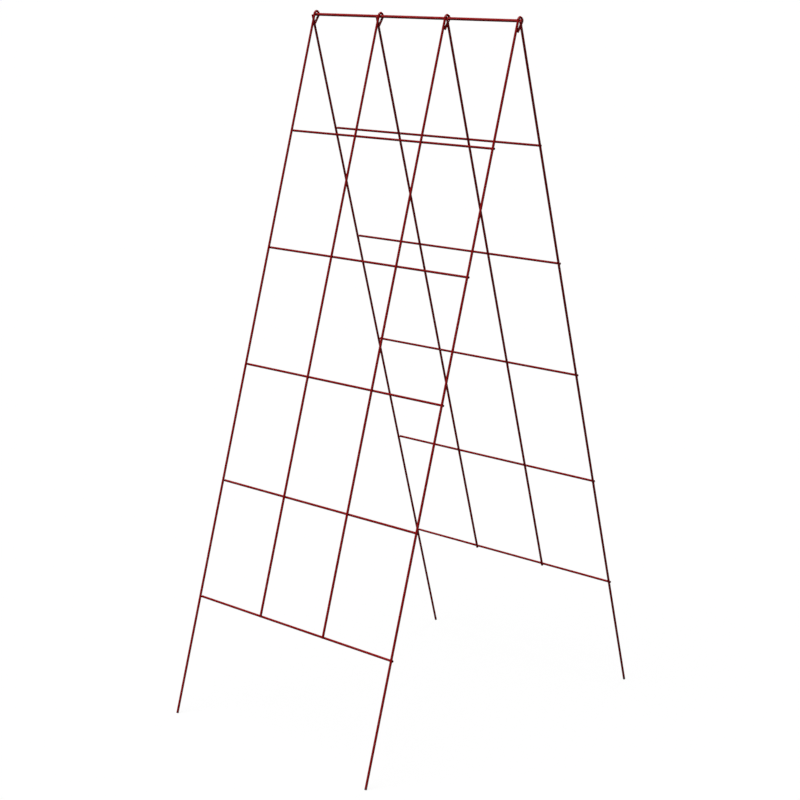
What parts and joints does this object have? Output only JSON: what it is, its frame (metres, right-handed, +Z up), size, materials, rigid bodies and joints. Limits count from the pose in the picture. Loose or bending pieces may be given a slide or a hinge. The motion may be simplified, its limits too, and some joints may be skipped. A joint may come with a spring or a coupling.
{
  "type": "a-frame trellis",
  "caption": "Folding A-shaped garden trellis of red coated welded wire: mesh panels hinged on a top rod, open mesh for climbing plants, and long legs that push into soil.",
  "frame": {"origin": "on the ground, at the middle of the footprint of the standing trellis", "axes": "+X along the top rod, +Z up; the front panel leans towards -Y and the back panel towards +Y"},
  "size_m": [0.4624, 0.6728, 1.1805],
  "materials": {
    "front_panel_red": "glossy red powder coat over steel wire",
    "back_panel_red": "glossy red powder coat over steel wire",
    "top_rod_red": "glossy red powder coat over a steel rod, polished by the loops"
  },
  "bodies": {
    "back_panel": {"back_leg_left": "back_panel_red", "back_upright_left": "back_panel_red", "back_upright_right": "back_panel_red", "back_leg_right": "back_panel_red", "back_crosswire_1": "back_panel_red", "back_crosswire_2": "back_panel_red", "back_crosswire_3": "back_panel_red", "back_crosswire_4": "back_panel_red", "back_crosswire_5": "back_panel_red", "top_rod": "top_rod_red"},
    "front_panel": {"front_leg_left": "front_panel_red", "front_upright_left": "front_panel_red", "front_upright_right": "front_panel_red", "front_leg_right": "front_panel_red", "front_loop_outer_left": "front_panel_red", "front_loop_inner_left": "front_panel_red", "front_loop_inner_right": "front_panel_red", "front_loop_outer_right": "front_panel_red", "front_crosswire_1": "front_panel_red", "front_crosswire_2": "front_panel_red", "front_crosswire_3": "front_panel_red", "front_crosswire_4": "front_panel_red", "front_crosswire_5": "front_panel_red"}
  },
  "joints": [
    {"name": "panel_fold", "type": "hinge", "parent": "back_panel", "child": "front_panel", "pos_m": [0, -0.00003, 1.17301], "axis": [-1, 0, 0], "range_deg": [-29.3, 148.1]}
  ]
}
